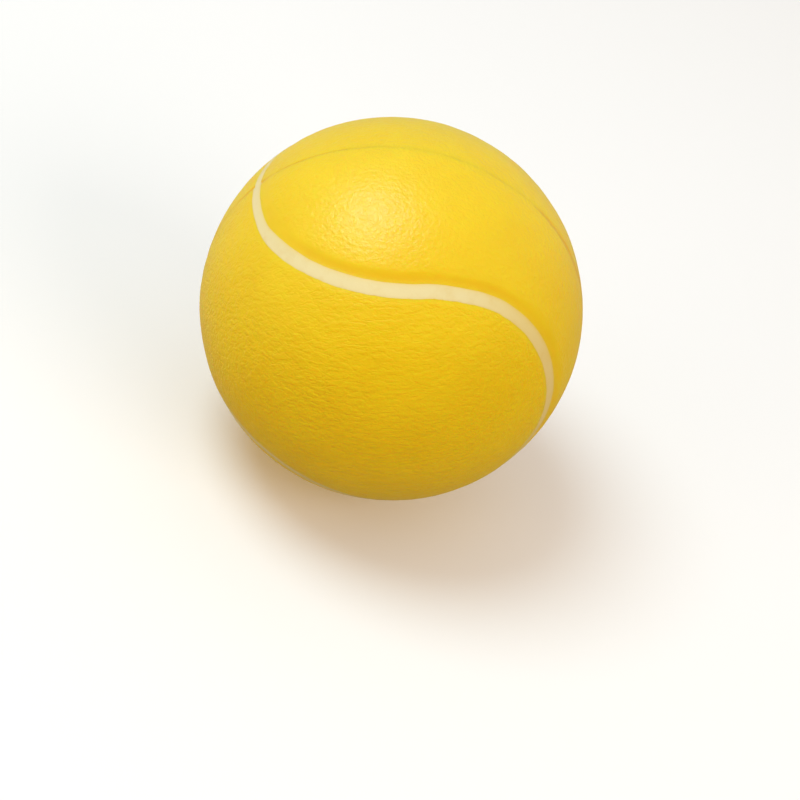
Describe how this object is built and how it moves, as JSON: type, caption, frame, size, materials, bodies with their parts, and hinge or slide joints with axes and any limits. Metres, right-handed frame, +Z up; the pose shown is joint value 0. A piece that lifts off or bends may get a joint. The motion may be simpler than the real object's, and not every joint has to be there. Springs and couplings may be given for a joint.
{
  "type": "stress ball",
  "caption": "Round squeezable foam ball with a recessed wavy seam, a painted band along it and a fine mould parting line.",
  "frame": {"origin": "centre of the ball", "axes": "+Z up; the mould's parting plane is y = 0; +X is the axis about which the seam repeats every half turn; -Y faces the viewer"},
  "size_m": [0.07, 0.07, 0.07],
  "materials": {
    "skin": "yellow integral foam skin with a fine leather grain, satin",
    "foam": "open-celled flexible foam, matte",
    "stripe_paint": "cream paint, matte, slightly worn at the edges"
  },
  "bodies": {
    "back_half": {"skin_back": "skin", "foam_core": "foam", "seam_stripe_back": "stripe_paint"},
    "front_half": {"skin_front": "skin", "seam_stripe_front": "stripe_paint"}
  },
  "joints": [
    {"name": "squeeze", "type": "slide", "parent": "back_half", "child": "front_half", "axis": [0, 1, 0], "range_m": [0, 0.022], "stiffness_N_per_m": 4000, "deforming": ["foam_core", "skin_back", "skin_front", "seam_stripe_back", "seam_stripe_front"]}
  ]
}
